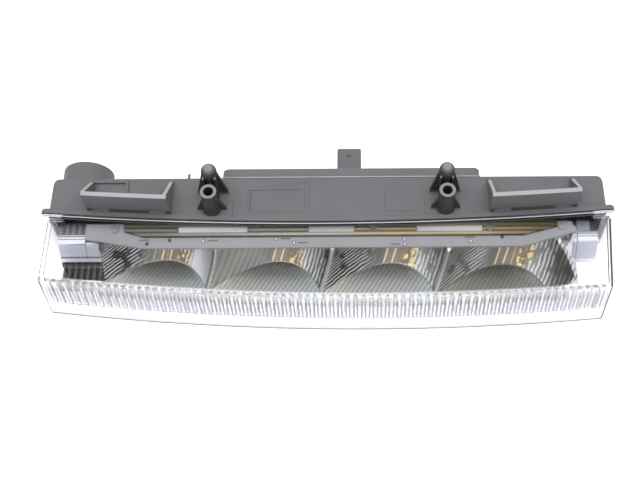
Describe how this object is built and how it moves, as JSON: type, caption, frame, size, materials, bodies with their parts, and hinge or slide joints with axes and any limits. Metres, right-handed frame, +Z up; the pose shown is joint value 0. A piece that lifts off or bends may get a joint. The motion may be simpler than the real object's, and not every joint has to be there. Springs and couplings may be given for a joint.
{
  "type": "daytime running light",
  "caption": "Slim bowed car daytime running light with a clear fluted lens, a grey housing with screw towers and brackets, and a rear connector socket.",
  "frame": {"origin": "centre of the underside of the lamp's box, with the housing, flange and lens feet at z = 0", "axes": "+X along the lamp, to the right as seen from in front of the lens; +Y from the lens to the connector; +Z up, out of the screw towers"},
  "size_m": [0.3116, 0.1002, 0.059],
  "materials": {
    "housing": "fine moulded grain",
    "lens": "clear polished",
    "seal": "matte",
    "reflector": "bright metallised moulding",
    "trim": "bright metallised moulding",
    "light_board": "light solder mask",
    "led": "yellow resin",
    "thermal_pad": "matte",
    "heat_sink": "dull anodised",
    "screws": "zinc plated",
    "driver_board": "green solder mask",
    "ferrite": "black moulded",
    "capacitor": "plain can",
    "ribbon": "amber film",
    "rear_cover": "fine moulded grain",
    "connector": "smooth moulded",
    "gasket": "silicone",
    "pins": "tin plated",
    "membrane": "white porous film",
    "vent_cap": "moulded"
  },
  "bodies": {
    "root": {"housing": "housing", "lens_cover": "lens", "lens_seal": "seal", "reflector": "reflector", "end_trim_left": "trim", "end_trim_right": "trim", "led_board": "light_board", "led_1": "led", "led_2": "led", "led_3": "led", "led_4": "led", "thermal_pad": "thermal_pad", "heat_sink": "heat_sink", "board_screws": "screws", "reflector_screws": "screws", "driver_board": "driver_board", "driver_inductor": "ferrite", "driver_capacitors": "capacitor", "driver_chip": "ferrite", "driver_diodes": "ferrite", "driver_screws": "screws", "board_ribbon": "ribbon", "rear_cover": "rear_cover", "rear_cover_seal": "seal", "rear_cover_screws": "screws", "connector_shell": "connector", "connector_gasket": "gasket", "connector_pins": "pins", "vent_membrane": "membrane", "vent_cap": "vent_cap"}
  },
  "joints": []
}
